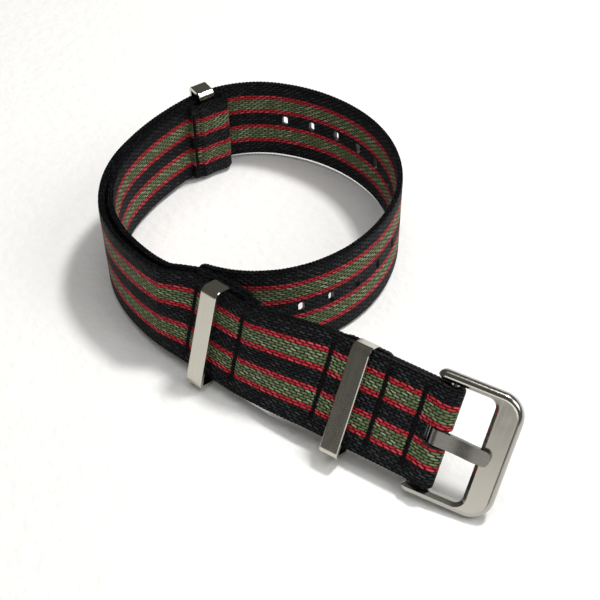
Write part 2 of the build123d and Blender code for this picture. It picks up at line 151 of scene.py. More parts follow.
# %% Path on the floor, lean and lift
coil_shares = (
    (1.53, 18.1), (1.02, 26.9), (0.88, 31.4), (1.72, 22.0), (0.70, 54.5),
    (1.03, 36.9), (0.90, 42.0), (1.00, 38.1), (0.94, 31.9), (0.78, 48.4),
)
MIDDLE_TURN = radians(6.6)
BUCKLE_LEAN, MIDDLE_LEAN, BEND_LEAN, TAIL_LEAN = 31.2, 17.5, 5.9, 7.5
BUCKLE_LIFT, MIDDLE_LIFT, COIL_LIFT = 3.4334, 2.0474, 1.0
BEND_LEAN_RUN, UPRIGHT_RUN, TAIL_START, TAIL_END = 4.4, 27.2, 200.0, 240.0
TO_FRAME = Vector((39.5620, -34.1915, 0.0))

upright_end = straight_end + UPRIGHT_RUN
LEAN_KNOTS = (
    (twist_start, BUCKLE_LEAN), (twist_end, MIDDLE_LEAN), (back_end, MIDDLE_LEAN),
    (straight_end + BEND_LEAN_RUN, BEND_LEAN), (upright_end, 0.0), (TAIL_START, 0.0),
    (TAIL_END, TAIL_LEAN),
)
LIFT_KNOTS = (
    (twist_start, BUCKLE_LIFT), (twist_end, MIDDLE_LIFT), (straight_end, MIDDLE_LIFT),
    (upright_end, COIL_LIFT), (TAIL_START, COIL_LIFT),
    (TAIL_END, half_ply * sin(radians(TAIL_LEAN))),
)

coil_turns = sum(share * radians(turn) for share, turn in coil_shares)
coil_radius = (STRAP_LENGTH - straight_end) / coil_turns
arcs = [
    (0.0, twist_start, 0.0),
    (twist_start, twist_end - twist_start, MIDDLE_TURN),
    (twist_end, straight_end - twist_end, 0.0),
]
for share, turn in coil_shares:
    start = sum(arcs[-1][:2])
    arcs.append((start, coil_radius * share * radians(turn), radians(turn)))
print("mean radius of the coil:", round(coil_radius, 1), "mm")


# %% [markdown]
# Each point of the webbing is found from three numbers: its station, its offset and its
# rise from the lower edge. The directions say which way each of them leads there.

# %% Finding a place on the strap
def plan(station):
    """Place on the floor and heading of the long strap's middle."""
    x, y, heading = 0.0, 0.0, pi
    for start, length, turn in arcs:
        run = min(station - start, length)
        if run <= 0 and start > 0:
            break
        if turn == 0:
            x, y = x + run * cos(heading), y + run * sin(heading)
            continue
        radius, angle = length / turn, turn * run / length
        x += radius * (sin(heading) - sin(heading - angle))
        y -= radius * (cos(heading) - cos(heading - angle))
        heading -= angle
    return x, y, heading


def along_knots(knots, station):
    """Value at a station, in straight runs between (station, value) knots."""
    for (s0, v0), (s1, v1) in zip(knots, knots[1:]):
        if station <= s1:
            return v0 + (v1 - v0) * max(station - s0, 0.0) / (s1 - s0)
    return knots[-1][1]


def directions(station):
    """Unit vectors along the strap, out of its face and up across it."""
    heading, lean = plan(station)[2], radians(along_knots(LEAN_KNOTS, station))
    along = Vector((cos(heading), sin(heading), 0))
    outward = Vector((-sin(heading), cos(heading), 0))
    face = outward * cos(lean) + Vector((0, 0, sin(lean)))
    across = Vector((0, 0, cos(lean))) - outward * sin(lean)
    return along, face, across


def lower_edge(station):
    """Middle of the long strap's lower edge, in the frame's place."""
    x, y, _ = plan(station)
    return Vector((x, y, along_knots(LIFT_KNOTS, station))) + TO_FRAME


def face_matrix(station, offset):
    """Place on the strap's mid width: X along it, Z out of its face, in metres."""
    along, face, across = directions(station)
    origin = (lower_edge(station) + across * (WEB_WIDTH / 2) + face * offset) * MM
    turn = Matrix((along, face.cross(along), face)).transposed()
    return Matrix.Translation(origin) @ turn.to_4x4()


print("tip of the strap at", [round(c, 1) for c in lower_edge(STRAP_LENGTH)], "mm")


# %% [markdown]
# ## Shader helpers
#
# Node materials are easier to read as sums. The class Value wraps a socket so that
# + - * / on it add Math nodes, and what reads like a formula becomes a row of nodes.

# %% Writing shader maths as Python
class Value:
    """A number on a socket, with operators that add Math nodes."""

    def __init__(self, finish, socket):
        self.finish, self.socket = finish, socket

    def math(self, operation, *others, clamp=False):
        settings = {"operation": operation, "use_clamp": clamp}
        inputs = dict(enumerate((self, *others)))
        return self.finish.value("ShaderNodeMath", settings, inputs)

    def __add__(self, other):
        return self.math("ADD", other)

    def __sub__(self, other):
        return self.math("SUBTRACT", other)

    def __mul__(self, other):
        return self.math("MULTIPLY", other)

    def __truediv__(self, other):
        return self.math("DIVIDE", other)

    def __rsub__(self, other):
        settings, inputs = {"operation": "SUBTRACT"}, {0: other, 1: self}
        return self.finish.value("ShaderNodeMath", settings, inputs)

    __radd__, __rmul__ = __add__, __mul__


print("sums of sockets become Math nodes")


# %% [markdown]
# The class Finish holds one material. Its node adds any node from its type, settings
# and inputs, and the short methods after it add the few that every finish here needs.

# %% Materials, node by node
class Finish:
    """A material whose nodes are added one by one."""

    def __init__(self, name):
        self.material = bpy.data.materials.new(name)
        self.material.use_nodes = True
        self.tree = self.material.node_tree
        self.surface = self.tree.nodes["Principled BSDF"]

    def plug(self, target, value):
        """Set a socket to a constant, or link a socket or a Value to it."""
        value = value.socket if isinstance(value, Value) else value
        if isinstance(value, bpy.types.NodeSocket):
            self.tree.links.new(value, target)
        else:
            target.default_value = value

    def node(self, kind, settings=None, inputs=None):
        """Add a node with its settings and with its inputs plugged."""
        made = self.tree.nodes.new(kind)
        for key, value in (settings or {}).items():
            setattr(made, key, value)
        for key, value in (inputs or {}).items():
            self.plug(made.inputs[key], value)
        return made

    def value(self, kind, settings=None, inputs=None):
        """Add a node and take its first output as a number."""
        return Value(self, self.node(kind, settings, inputs).outputs[0])

    def noise(self, place, scale, detail=2.0):
        """Soft noise at a place."""
        inputs = {"Vector": place, "Scale": scale, "Detail": detail}
        return self.value("ShaderNodeTexNoise", inputs=inputs)

    def stretched(self, place, scales):
        """A place scaled by its own factor along each axis."""
        inputs = {"Vector": place, "Scale": scales}
        return self.node("ShaderNodeMapping", inputs=inputs).outputs[0]

    def object_place(self):
        """The place on the object."""
        return self.node("ShaderNodeTexCoord").outputs["Object"]

    def bands(self, place, stops):
        """Colour of the band that a place lies in, from (start, colour) stops."""
        made = self.node("ShaderNodeValToRGB", inputs={0: place})
        ramp = made.color_ramp
        ramp.interpolation = "CONSTANT"
        while len(ramp.elements) < len(stops):
            ramp.elements.new(1.0)
        for element, (position, colour) in zip(ramp.elements, stops):
            element.position, element.color = position, (*colour, 1.0)
        return made.outputs[0]

    def mix(self, factor, first, second, blend="MIX"):
        """Colour between two colours, which are inputs 6 and 7 of the Mix node."""
        settings = {"data_type": "RGBA", "blend_type": blend}
        inputs = {0: factor, 6: first, 7: second}
        return self.node("ShaderNodeMix", settings, inputs).outputs[2]

    def shade(self, **inputs):
        """Set the surface's sockets, with _ for a space in their names."""
        for key, value in inputs.items():
            self.plug(self.surface.inputs[key.replace("_", " ")], value)

    def bump(self, height, distance):
        """Raise the surface by a height, in shares of a distance in millimetres."""
        inputs = {"Strength": 1.0, "Distance": distance * MM, "Height": height}
        self.shade(Normal=self.node("ShaderNodeBump", inputs=inputs).outputs[0])


print("shader helpers ready")


# %% [markdown]
# ## Woven nylon
#
# On the real strap the lengthwise yarns float over the cross yarns in short dashes,
# each row half a dash behind its neighbour, so the stripes look like flat rope. A
# picture of cloth could be laid on the ribbon, but it would blur up close and repeat.
# So the pattern is worked out from the ribbon's own UV map, which holds the distance
# along and across the webbing in metres. The stripes are counted in rows of yarn, and
# each colour has a paler one, a painted highlight for the crests that catch the light.

# %% Stripes and the size of the weave
ROWS, FLOAT_LENGTH = 36, 1.50
ROW = WEB_WIDTH / ROWS
# Each GLINT colour is a painted highlight for the crests of its stripe's dashes.
BLACK, GLINT_BLACK = (0.0062, 0.0070, 0.0085), (0.048, 0.051, 0.057)
RED, GLINT_RED = (0.42, 0.017, 0.026), (0.78, 0.10, 0.13)
GREEN, GLINT_GREEN = (0.100, 0.140, 0.062), (0.38, 0.44, 0.27)
STRIPE_ROWS = (6, 2, 5, 2, 6, 2, 5, 2, 6)
HALF_STRIPES = (BLACK, RED, GREEN, RED)
HALF_GLINTS = (GLINT_BLACK, GLINT_RED, GLINT_GREEN, GLINT_RED)
STRIPE_COLOURS = (*HALF_STRIPES, *HALF_STRIPES, BLACK)
GLINT_COLOURS = (*HALF_GLINTS, *HALF_GLINTS, GLINT_BLACK)
YARN_HALF_WIDTH, DASH_HALF_LENGTH, DASH_JITTER, ROW_SEED = 0.27, 0.51, 0.16, 0.37
SLANT_SPREAD, SLANT_BACK = 0.34, 0.10
WANDER_SCALE, WANDER = 1100.0, 0.26
FIBRE_SCALES = (900, 9000, 1)
stripe_starts = [sum(STRIPE_ROWS[:i]) / ROWS for i in range(len(STRIPE_ROWS))]
print("stripes start at", [round(s * WEB_WIDTH, 1) for s in stripe_starts], "mm")


# %% [markdown]
# Two sets of rows, even and odd, are drawn alike. Within a row each dash has a random
# number of its own, the same in every render, and a rounded height. A slight slant,
# another for each dash, makes neighbours look twisted round each other.

# %% Rows of yarn
def yarn_rows(finish, along, across, parity):
    """Height, row and random number of the dashes of the even or odd rows."""
    row = across / (2 * ROW) - parity / 2
    run = along / FLOAT_LENGTH + parity / 2
    row_number = row.math("FLOOR")
    jitter = finish.value(
        "ShaderNodeTexWhiteNoise", {"noise_dimensions": "1D"},
        {"W": row_number + parity * ROW_SEED},
    )
    run = run + jitter * DASH_JITTER
    dash = run.math("FRACT") - 0.5
    middle = row.math("FRACT") - 0.5
    seed = finish.node(
        "ShaderNodeCombineXYZ", inputs={0: run.math("FLOOR"), 1: row_number, 2: parity}
    )
    random = finish.value("ShaderNodeTexWhiteNoise", inputs={"Vector": seed.outputs[0]})
    sideways = middle * (2 * ROW) + dash * (random * SLANT_SPREAD - SLANT_BACK)
    width = sideways / YARN_HALF_WIDTH
    length = dash / DASH_HALF_LENGTH
    height = 1 - width * width - (length * length) * (length * length)
    return height.math("MAXIMUM", 0.0), row_number * 2 + (parity + 1.0), random


print("rows of yarn:", ROWS, "with dashes of", FLOAT_LENGTH, "mm")


# %% [markdown]
# The higher of the two sets shows, and each dash takes the colour of its row, so a
# stripe's border runs from dash to dash. The crests of some dashes are painted paler,
# a painted highlight, and the grooves are painted dark, a painted shade. Fine noise
# along the strap stands for single fibres. Towards the selvedges, within a millimetre,
# the whole pattern gets a little darker: painted shade.

# %% The woven finish
# The CREST numbers set the painted highlights; the GROOVE and EDGE numbers set painted
# shade.
CREST_START, CREST_GAIN, CREST_LEAST, CREST_SPREAD = 0.45, 1.9, 0.15, 1.7
FIBRE_GAIN, FIBRE_START, FIBRE_HEIGHT = 1.6, 0.15, 0.10
GROOVE_LIGHT, GROOVE_GAIN, EDGE_LIGHT, EDGE_GAIN = 0.08, 1.7, 0.6, 0.4
DASH_HEIGHT, DASH_SPREAD, RELIEF = 0.8, 0.35, 0.24
WEB_ROUGHNESS, CREST_SHINE, WEB_SPECULAR = 0.62, 0.12, 0.07


def woven_nylon():
    finish = Finish("woven_nylon")
    uv = finish.node("ShaderNodeUVMap", {"uv_map": "weave"}).outputs[0]
    parts = finish.node("ShaderNodeSeparateXYZ", inputs={0: uv})
    along = Value(finish, parts.outputs[0]) * 1000
    wander = finish.noise(uv, WANDER_SCALE)
    across = Value(finish, parts.outputs[1]) * 1000 + (wander - 0.5) * WANDER
    even, even_row, even_random = yarn_rows(finish, along, across, 0)
    odd, odd_row, odd_random = yarn_rows(finish, along, across, 1)
    odd_shows = odd.math("GREATER_THAN", even)
    height = even.math("MAXIMUM", odd)
    row = even_row + (odd_row - even_row) * odd_shows
    random = even_random + (odd_random - even_random) * odd_shows
    place = (row - 0.5) / ROWS
    stripe = finish.bands(place, list(zip(stripe_starts, STRIPE_COLOURS)))
    glint = finish.bands(place, list(zip(stripe_starts, GLINT_COLOURS)))
    fibres = finish.noise(finish.stretched(uv, FIBRE_SCALES), 1.0)
    # Painted shade: within a millimetre of each selvedge the colour and its highlights
    # are darkened.
    edge = across.math("MINIMUM", WEB_WIDTH - across)
    selvedge_shade = (edge * EDGE_GAIN).math("ADD", EDGE_LIGHT, clamp=True)
    # Painted highlight: the paler glint colour on the crests of the dashes, stronger on
    # some dashes.
    uneven = CREST_LEAST + random * random * CREST_SPREAD
    crest_highlight = (height - CREST_START) * CREST_GAIN * uneven
    crest_highlight = crest_highlight * (fibres * FIBRE_GAIN - FIBRE_START) * selvedge_shade
    body = finish.mix(crest_highlight.math("MAXIMUM", 0.0, clamp=True), stripe, glint)
    # Painted shade: the colour is darkened in the grooves between the dashes, and near
    # the selvedges.
    depth = (height * GROOVE_GAIN).math("ADD", GROOVE_LIGHT, clamp=True) * selvedge_shade
    finish.shade(
        Base_Color=finish.mix(1.0, body, depth, "MULTIPLY"),
        Roughness=WEB_ROUGHNESS - height * CREST_SHINE,
        Specular_IOR_Level=WEB_SPECULAR,
    )
    relief = height * (DASH_HEIGHT + random * DASH_SPREAD) + fibres * FIBRE_HEIGHT
    finish.bump(relief, RELIEF)
    print("woven nylon:", len(finish.tree.nodes), "nodes")
    return finish.material


woven = woven_nylon()


# %% [markdown]
# The holes are cut hot, which melts the yarns into a dark, glossy lip. Its colour is a
# fine noise between two blacks.

# %% Sealed edge
SEALED_DARK, SEALED_PALE = (0.006, 0.006, 0.007, 1.0), (0.022, 0.021, 0.022, 1.0)
SEALED_SCALE, SEALED_RELIEF = 2600.0, 0.05
SEALED_ROUGHNESS, SEALED_SPREAD = 0.35, 0.25


def sealed_edge():
    finish = Finish("sealed_edge")
    grain = finish.noise(finish.object_place(), SEALED_SCALE)
    finish.shade(
        Base_Color=finish.mix(grain, SEALED_DARK, SEALED_PALE),
        Roughness=SEALED_ROUGHNESS + grain * SEALED_SPREAD,
    )
    finish.bump(grain, SEALED_RELIEF)
    return finish.material


sealed = sealed_edge()
print("sealed edge made for", HOLE_COUNT, "holes")


# %% [markdown]
# ## The webbing as a ribbon
#
# A strip of webbing is a long tube whose section is a flat oval. Its points are close
# together near the selvedges, where the surface turns, and one more point stands in the
# middle of each narrow wall. The selvedge has a small bump wherever a cross yarn turns
# back, so the outermost points move in and out along the strap.

# %% The section of the webbing
SELVEDGE_PITCH, SELVEDGE_DEPTH = 0.81, 0.15
SELVEDGE_WIDTH, SELVEDGE_ROUNDNESS = 0.6, 0.8
THIN_WIDTH, THINNER_EDGE, THINNER_GAP = 0.55, 0.20, 0.06
EDGE_RISES = (0.0, 0.10, 0.28, 0.55, 0.95, 1.6)
MIDDLE_START, MIDDLE_PARTS = 2.4, 16
middle_step = (WEB_WIDTH - 2 * MIDDLE_START) / MIDDLE_PARTS
middle_rises = [MIDDLE_START + i * middle_step for i in range(MIDDLE_PARTS + 1)]
rises = [*EDGE_RISES, *middle_rises, *[WEB_WIDTH - rise for rise in EDGE_RISES[::-1]]]
section = [
    *[(rise, 1) for rise in rises], (WEB_WIDTH, 0),
    *[(rise, -1) for rise in rises[::-1]], (0.0, 0),
]


def section_point(rise, side, length, tip_run):
    """Rise and height of a point of the section, at a length from its start."""
    phase = pi / 2 if rise > WEB_WIDTH / 2 else 0
    bulge = abs(sin(pi * length / SELVEDGE_PITCH + phase))
    edge = min(rise, WEB_WIDTH - rise)
    near = max(0.0, 1 - edge / THIN_WIDTH)
    inset = SELVEDGE_DEPTH * (1 - bulge ** SELVEDGE_ROUNDNESS)
    inset *= max(0.0, 1 - edge / SELVEDGE_WIDTH)
    height = half_ply * (1 - THINNER_EDGE * near ** 2.0)
    height *= 1 - THINNER_GAP * (1 - bulge) * near
    if tip_run < TIP_RADIUS:
        level = TIP_RADIUS - tip_run
        inset += TIP_RADIUS - sqrt(max(TIP_RADIUS ** 2 - level ** 2, 0.0))
        rise = WEB_WIDTH / 2 + (rise - WEB_WIDTH / 2) * (1 - 2 * inset / WEB_WIDTH)
        inset = 0.0
    rise += inset if rise < WEB_WIDTH / 2 else -inset
    return rise, side * height


print("the section has", len(section), "points")


# %% [markdown]
# Stitches pull the webbing in. The dip fades out like a bell on both sides of each
# tack, and ends before the selvedges, where the thread doesn't reach.

# %% The dip under the stitches
PINCH, PINCH_REACH, PINCH_MARGIN, EULER = 0.36, 0.85, 1.2, 2.718


def pinch(station, rise, tacks):
    """How far the stitches pull the webbing's face in."""
    edge = min(rise, WEB_WIDTH - rise)
    hold = min(max((edge - PINCH_MARGIN) / PINCH_MARGIN, 0.0), 1.0)
    dips = (PINCH * EULER ** -(((station - tack) / PINCH_REACH) ** 2) for tack in tacks)
    return hold * sum(dips)


print("dip at a tack:", pinch(TACKS[0], WEB_WIDTH / 2, TACKS[:1]), "mm")


# %% [markdown]
# A ribbon's middle line is a list of stops. Each stop says its station, its offset, how
# far it stands beyond the station, how far the ply has turned there, which side of it
# looks out, and which stitches show. Plain runs and folds each give their own stops.

# %% Stops along a ribbon
STEP, FOLD_STEPS = 0.27, 14
Stop = namedtuple(
    "Stop", "station offset beyond turn side tacks", defaults=(0.0, 0.0, 1, ())
)


def run_stops(knots, side, tacks=()):
    """Stops from knot to knot of (station, offset), on one side of the strap."""
    stops = []
    for (s0, v0), (s1, v1) in zip(knots, knots[1:]):
        count = ceil(abs(s1 - s0) / STEP)
        for i in range(count):
            t = i / count
            eased = t * t * (3 - 2 * t)
            station, offset = s0 + (s1 - s0) * t, v0 + (v1 - v0) * eased
            stops.append(Stop(station, offset, side=side, tacks=tacks))
    return stops


def fold_stops(station, outer, inner, heading):
    """Stops of a half turn between two plies."""
    middle, reach = (outer + inner) / 2, (outer - inner) / 2
    turns = [pi * i / FOLD_STEPS for i in range(FOLD_STEPS)]
    return [
        Stop(station, middle + reach * cos(t), heading * reach * sin(t), t * heading)
        for t in turns
    ]


def pocket_knots(first_tack, level, pocket_level):
    """Knots of a ply that rises over a keeper's bar between two tacks."""
    start, end = first_tack + TACK_REACH, first_tack + POCKET_LENGTH - TACK_REACH
    return [
        (start, level), (start + POCKET_RAMP, pocket_level),
        (end - POCKET_RAMP, pocket_level), (end, level),
    ]


print("a pocket needs", len(run_stops(pocket_knots(0.0, 0.0, 1.0), 1)), "stops")


# %% [markdown]
# Two steps come after a ribbon's points are laid. Its UV map gets the distances that
# the woven pattern is drawn from, which go on round the narrow walls, and its two open
# ends are filled.

# %% Weave map and ends
WEB_SMOOTH = radians(50)


def close_ends(obj):
    """Fill the two open ends, point all faces outwards and shade them smooth."""
    mesh = bmesh.new()
    mesh.from_mesh(obj.data)
    rims = [edge for edge in mesh.edges if edge.is_boundary]
    bmesh.ops.holes_fill(mesh, edges=rims, sides=0)
    bmesh.ops.recalc_face_normals(mesh, faces=mesh.faces[:])
    mesh.to_mesh(obj.data)
    mesh.free()
    select_only(obj)
    bpy.ops.object.shade_smooth_by_angle(angle=WEB_SMOOTH)


def write_weave(obj, lengths):
    """Write the distances along and across the webbing into the UV map."""
    wall = {0.0: -half_ply, WEB_WIDTH: WEB_WIDTH + half_ply}
    rounded = [*section, section[0]]
    across = [rise if side else wall[rise] for rise, side in rounded]
    weave = obj.data.uv_layers[0]
    weave.name = "weave"
    for loop in obj.data.loops:
        i, j = divmod(loop.vertex_index, len(rounded))
        weave.data[loop.index].uv = (lengths[i] * MM, across[j] * MM)


print("narrow walls add", half_ply, "mm to each side of the weave map")


# %% [markdown]
# A grid is the easiest start for a ribbon: its columns are wrapped round the section
# and its rows are laid one after another along the stops, through folds and over the
# keepers. A curve with a flat bevel would twist at the folds, and a grid goes where it
# is told. At last the seam is merged, where the first column meets the last.

# %% Laying a ribbon
SEAM = 0.002


def ribbon(name, stops, tip=False):
    """A closed woven ribbon laid along its stops, with its lengths on the UV map."""
    bpy.ops.object.select_all(action="DESELECT")
    columns = len(section) + 1
    bpy.ops.mesh.primitive_grid_add(
        x_subdivisions=columns - 1, y_subdivisions=len(stops) - 1, size=1.0
    )
    obj = new_piece(name)
    points = np.zeros((len(stops), columns, 3))
    lengths, length, last = [], 0.0, None
    for i, stop in enumerate(stops):
        along, face, across = directions(stop.station)
        middle = lower_edge(stop.station) + face * stop.offset + along * stop.beyond
        centre = middle + across * (WEB_WIDTH / 2)
        length += (centre - last).length if last else 0.0
        last = centre
        lengths.append(length)
        normal = (face * cos(stop.turn) + along * sin(stop.turn)) * stop.side
        tip_run = length if tip else TIP_RADIUS
        for j in range(columns):
            rise, side = section[j % len(section)]
            shown_rise, height = section_point(rise, side, length, tip_run)
            if side == 1 and stop.tacks:
                height -= pinch(stop.station, rise, stop.tacks)
            points[i, j] = middle + across * shown_rise + normal * height
    obj.data.vertices.foreach_set("co", (points * MM).ravel())
    write_weave(obj, lengths)
    obj.data.update()
    select_only(obj)
    bpy.ops.object.mode_set(mode="EDIT")
    bpy.ops.mesh.select_all(action="SELECT")
    bpy.ops.mesh.remove_doubles(threshold=SEAM * MM)
    bpy.ops.object.mode_set(mode="OBJECT")
    close_ends(obj)
    print(name, "is", round(length, 1), "mm long with", len(stops), "stops")
    return obj


print("a ribbon has", len(section), "points at each stop")


# %% [markdown]
# ## The long strap
#
# The long strap starts at its rounded tip, runs round the coil to the spring bar,
# folds round it and comes back behind itself, rising over the inner bars of the two
# keepers on the way. It is one ribbon, because the real one is one piece of webbing.

# %% Lay the long strap
front, back = pin_offset + fold_radius, pin_offset - fold_radius
settled = TACKS[0] - TACK_REACH
front_knots = [(STRAP_LENGTH, 0.0), (straight_end, 0.0), (settled, 0.0), (0.0, front)]
back_knots = [
    (0.0, back), (settled, -ply_step),
    *pocket_knots(TACKS[1], -ply_step, -pocket_step), (twist_end, -ply_step),
    *pocket_knots(TACKS[3], -ply_step, -pocket_step), (back_end, -ply_step),
]
long_stops = run_stops(front_knots, 1, TACKS[:5]) + fold_stops(0.0, front, back, -1)
long_stops += run_stops(back_knots, -1) + [Stop(back_end, -ply_step, side=-1)]
long_web = ribbon("webbing_long", long_stops, tip=True)


# %% [markdown]
# The holes are cut as one: a slot-shaped cutter is set at each hole's place, the
# cutters are joined, and one Boolean takes them out. A box with bevelled edges makes
# the slot, and its sealed material is carried over to the walls of the holes. The same
# cut opens the slot in the fold in which the tongue turns.

# %% Cut the holes and the tongue's slot
SLOT_SEGMENTS, HOLE_CUT, TONGUE_SLOT_CUT = 6, 2 * WEB_THICK, 6 * fold_radius
NEARLY_UPRIGHT = 0.9


def slot_cutter(name, width, height, depth, rounding, place):
    """A box with rounded upright edges, at a place given by a matrix."""
    bpy.ops.object.select_all(action="DESELECT")
    bpy.ops.mesh.primitive_cube_add(size=1.0)
    cutter = new_piece(name)
    cutter.data.transform(Matrix.Diagonal((width * MM, height * MM, depth * MM, 1.0)))
    mesh = bmesh.new()
    mesh.from_mesh(cutter.data)
    upright = [
        edge for edge in mesh.edges
        if abs((edge.verts[0].co - edge.verts[1].co).normalized().z) > NEARLY_UPRIGHT
    ]
    bmesh.ops.bevel(
        mesh, geom=upright, offset=rounding * MM, segments=SLOT_SEGMENTS, profile=0.5,
        affect="EDGES",
    )
    mesh.to_mesh(cutter.data)
    mesh.free()
    cutter.data.transform(place)
    cutter.data.materials.append(sealed)
    return cutter


cutters = [
    slot_cutter(
        f"cutter_{i}", HOLE_WIDTH, HOLE_HEIGHT, HOLE_CUT, HOLE_ROUNDING,
        face_matrix(HOLE_START + i * HOLE_PITCH, 0.0),
    )
    for i in range(HOLE_COUNT)
]
tongue_shift = Matrix.Translation((-TONGUE_SLOT_SHIFT * MM, 0, 0))
cutters.append(slot_cutter(
    "cutter_tongue", TONGUE_SLOT_LENGTH, TONGUE_SLOT_WIDTH, TONGUE_SLOT_CUT,
    TONGUE_SLOT_ROUNDING, face_matrix(0.0, pin_offset) @ tongue_shift,
))
cutter = join(cutters, "cutter")
long_web.data.materials.append(woven)
select_only(long_web)
cut = long_web.modifiers.new("cut", "BOOLEAN")
cut.object, cut.operation, cut.solver = cutter, "DIFFERENCE", "EXACT"
cut.material_mode = "TRANSFER"
bpy.ops.object.modifier_apply(modifier=cut.name)
bpy.data.objects.remove(cutter)
print("materials after the cut:", [m.name for m in long_web.data.materials])
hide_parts("long_strap")
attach(long_web, "strap")


# %% [markdown]
# ## The short strap
#
# The short strap is sewn on behind the long one, follows the inside of the coil and
# folds back on itself at its far end, where the fold holds the third keeper. In its
# free stretch it lies closer behind the long strap than its solid does, by the length
# FLAP_CLOSER.

# %% Lay the short strap
keeper_3_inside = half_ply + KEEPER_3_CLEARANCE - KEEPER_DEPTH
flap_pocket = -ply_step - PLY_GAP / 2
flap_inner_pocket = keeper_3_inside - KEEPER_THICK - KEEPER_3_CLEARANCE - half_ply
sewn, flap_loose = -2 * ply_step, -2 * ply_step + FLAP_CLOSER
flap_tacked = -ply_step - TACKED_SLACK
flap_inner_tacked = flap_tacked - ply_step
tacked, past_tack = TACKS[5] - TACK_REACH, TACKS[5] + TACK_REACH
open_start = TACKS[5] + TACK_REACH + POCKET_RAMP
outer_knots = [
    (flap_start, sewn), *pocket_knots(TACKS[3], sewn, -pocket_step - ply_step),
    (back_end, sewn), (straight_end + FLAP_EASE, flap_loose),
    (tacked - FLAP_EASE, flap_loose), (tacked, flap_tacked), (past_tack, flap_tacked),
    (open_start, flap_pocket), (fold_start, flap_pocket),
]
inner_knots = [
    (fold_start, flap_inner_pocket), (open_start, flap_inner_pocket),
    (past_tack, flap_inner_tacked), (tacked, flap_inner_tacked),
]
short_stops = run_stops(outer_knots, 1)
short_stops += fold_stops(fold_start, flap_pocket, flap_inner_pocket, 1)
short_stops += run_stops(inner_knots, -1, TACKS[5:])
short_stops += [Stop(tacked, flap_inner_tacked, side=-1, tacks=TACKS[5:])]
short_web = ribbon("webbing_short", short_stops)
dress(short_web, woven, "webbing", "strap", "short_strap")


# %% [markdown]
# ## The stitches
#
# The thread is black and dull. A fine noise stands for its twist, in the colour and in
# the relief.

# %% Thread finish
THREAD_DARK, THREAD_PALE = (0.002, 0.002, 0.0022, 1.0), (0.009, 0.0092, 0.011, 1.0)
TWIST_SCALE, TWIST_DETAIL, TWIST_RELIEF = 5200.0, 3.0, 0.05
THREAD_ROUGHNESS, THREAD_SPREAD, THREAD_SPECULAR = 0.55, 0.2, 0.08


def sewing_thread():
    finish = Finish("sewing_thread")
    twist = finish.noise(finish.object_place(), TWIST_SCALE, TWIST_DETAIL)
    finish.shade(
        Base_Color=finish.mix(twist, THREAD_DARK, THREAD_PALE),
        Roughness=THREAD_ROUGHNESS + twist * THREAD_SPREAD,
        Specular_IOR_Level=THREAD_SPECULAR,
    )
    finish.bump(twist, TWIST_RELIEF)
    return finish.material


thread = sewing_thread()
print("thread finish made")


# %% [markdown]
# Each tack is a dense zigzag of thread: one curve with a round bevel for the front of
# the plies and one for the back, made meshes and joined. It dips into the webbing at
# every turn, and two waves that don't keep step make its turns a little uneven, as
# sewn ones are. The last tack is pulled in on its back, the side where it is seen.

# %% Sew the tacks
THREAD_RADIUS, ZIG, THREAD_RISE, THREAD_DIP = 0.17, 0.31, 0.09, 0.20
REACH, UNEVEN, DIP_REACH, DIP_STEPS = 0.33, 0.07, 0.15, 1.4
NEAR_WAVE, FAR_WAVE = 5.1, 7.7
WIRE_SMOOTH = radians(60)


def wire(name, points, radius, matrix):
    """A round wire through points in millimetres, as a mesh at a place."""
    curve = bpy.data.curves.new(name, "CURVE")
    curve.dimensions, curve.bevel_depth = "3D", radius * MM
    curve.bevel_resolution, curve.use_fill_caps = 1, True
    spline = curve.splines.new("POLY")
    spline.points.add(len(points) - 1)
    for point, place in zip(spline.points, points):
        point.co = (*(Vector(place) * MM), 1.0)
    obj = bpy.data.objects.new(name, curve)
    bpy.context.scene.collection.objects.link(obj)
    select_only(obj)
    bpy.ops.object.convert(target="MESH")
    obj = new_piece(name)
    obj.data.transform(matrix)
    return obj


def zigzag(name, matrix):
    """One side's zigzag, lying across the strap."""
    low = THREAD_RISE - THREAD_DIP
    count = int(TACK_LENGTH / ZIG)
    step = TACK_LENGTH / count / 4
    points = []
    for i in range(count):
        y = -TACK_LENGTH / 2 + (i + 0.5) * TACK_LENGTH / count
        side = 1 if i % 2 else -1
        near = REACH + UNEVEN * sin(NEAR_WAVE * i)
        far = REACH + UNEVEN * sin(FAR_WAVE * i + 1)
        points += [
            (-(near + DIP_REACH) * side, y - DIP_STEPS * step, low),
            (-near * side, y - step, THREAD_RISE),
            (far * side, y + step, THREAD_RISE),
            ((far + DIP_REACH) * side, y + DIP_STEPS * step, low),
        ]
    return wire(name, points, THREAD_RADIUS, matrix)


# A tack goes from the face in front to the one behind: through two plies near the
# buckle, through three where the short strap is sewn on, and through its fold.
under_two, under_three = -ply_step - half_ply, -2 * ply_step - half_ply
TACK_FACES = [(half_ply, under_two)] * 3 + [(half_ply, under_three)] * 2
TACK_FACES.append((flap_tacked + half_ply, flap_inner_tacked - half_ply))
for number, (station, (outer, inner)) in enumerate(zip(TACKS, TACK_FACES), 1):
    front_dip, back_dip = (0.0, PINCH) if number == len(TACKS) else (PINCH, 0.0)
    over = face_matrix(station, outer - front_dip)
    under = face_matrix(station, inner + back_dip) @ Matrix.Rotation(pi, 4, "Y")
    sides = [zigzag("over", over), zigzag("under", under)]
    stitches = join(sides, f"stitches_{number}")
    bpy.ops.object.shade_smooth_by_angle(angle=WIRE_SMOOTH)
    dress(stitches, thread, "thread", "strap", f"bar_tack_{number}")


# %% [markdown]
# ## Steel
#
# The keepers, the frame and the tongue are satin steel. Fine scratches run along the
# keepers, the frame's front bar and the tongue, and round the turned spring bar. They
# are finer than a hair, so they are noise on Object coordinates and not geometry: fine
# across the scratches and coarse along them, so the scales choose their direction.

